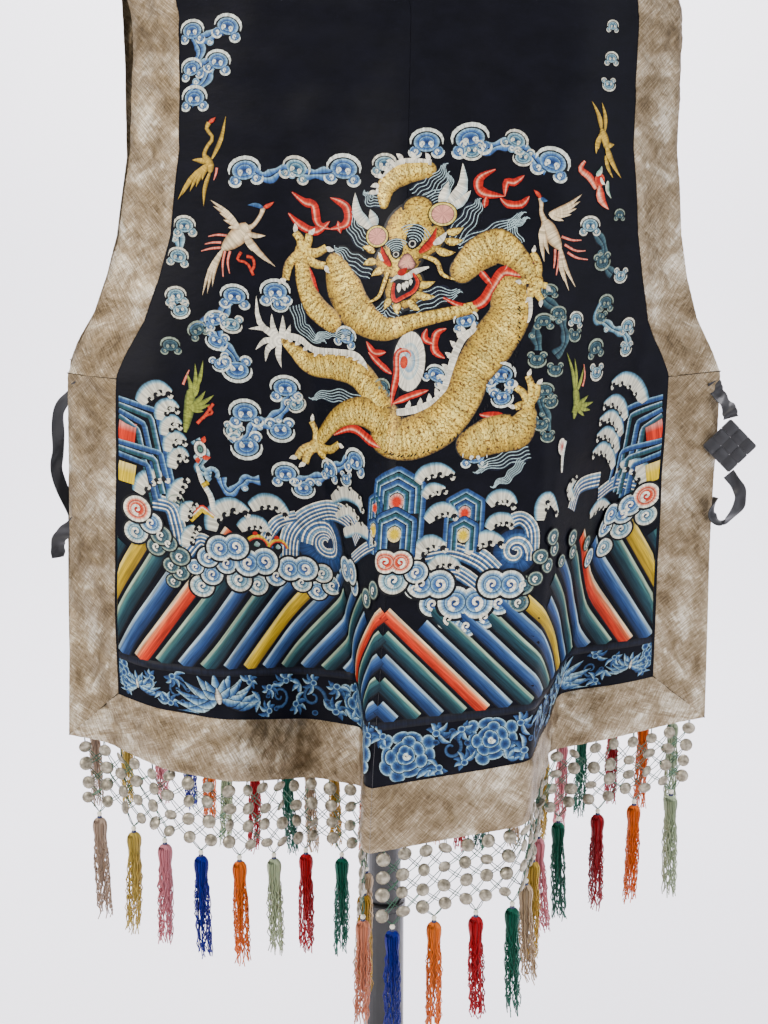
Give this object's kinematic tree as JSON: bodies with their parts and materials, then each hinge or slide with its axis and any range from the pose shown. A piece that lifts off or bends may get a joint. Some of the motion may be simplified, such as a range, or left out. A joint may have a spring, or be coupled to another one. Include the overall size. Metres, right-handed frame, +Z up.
{
  "type": "embroidered sleeveless ceremonial vest on a limbless dress form with stand",
  "caption": "Sleeveless black silk ceremonial vest with metallic borders, pointed fringed hems and embroidery, worn by a limbless dress form on a telescoping pole stand.",
  "frame": {"origin": "centre of the round base's underside, on the floor", "axes": "+Z up along the pole; -Y out of the wearer's back, the side that is shown; +X to the right as the back is seen"},
  "size_m": [0.9121, 0.5403, 1.7103],
  "materials": {
    "black_satin": "satin",
    "silver_ribbon": "metallic weave",
    "green_thread_net": "knotted thread with metal discs",
    "silk_tassels": "silk floss",
    "black_silk_ribbon": "silk ribbon",
    "form_jersey": "smooth jersey",
    "black_enamel": "semi-gloss enamel"
  },
  "bodies": {
    "stand": {"pole_lower": "black_enamel", "base": "black_enamel"},
    "form": {"back_left_panel": "black_satin", "back_left_armhole_border": "silver_ribbon", "back_left_side_border": "silver_ribbon", "back_left_hem_border": "silver_ribbon", "back_left_neck_border": "silver_ribbon", "back_left_net": "green_thread_net", "back_left_tassels": "silk_tassels", "back_right_panel": "black_satin", "back_right_armhole_border": "silver_ribbon", "back_right_side_border": "silver_ribbon", "back_right_hem_border": "silver_ribbon", "back_right_neck_border": "silver_ribbon", "back_right_net": "green_thread_net", "back_right_tassels": "silk_tassels", "front_left_panel": "black_satin", "front_left_armhole_border": "silver_ribbon", "front_left_side_border": "silver_ribbon", "front_left_hem_border": "silver_ribbon", "front_left_neck_border": "silver_ribbon", "front_left_net": "green_thread_net", "front_left_tassels": "silk_tassels", "front_right_panel": "black_satin", "front_right_armhole_border": "silver_ribbon", "front_right_side_border": "silver_ribbon", "front_right_hem_border": "silver_ribbon", "front_right_neck_border": "silver_ribbon", "front_right_net": "green_thread_net", "front_right_tassels": "silk_tassels", "front_left_opening_border": "silver_ribbon", "front_right_opening_border": "silver_ribbon", "left_tie_upper": "black_silk_ribbon", "left_tie_lower": "black_silk_ribbon", "right_tie_strap": "black_silk_ribbon", "right_tie_knot": "black_silk_ribbon", "right_tie_loop": "black_silk_ribbon", "front_fastening_1": "black_silk_ribbon", "front_fastening_2": "black_silk_ribbon", "form_torso": "form_jersey", "form_neck_cap": "black_enamel", "form_plate": "black_enamel", "pole_upper": "black_enamel"}
  },
  "joints": [
    {"name": "pole_slide", "type": "slide", "parent": "stand", "child": "form", "axis": [0, 0, 1], "range_m": [-0.1, 0.13]}
  ]
}
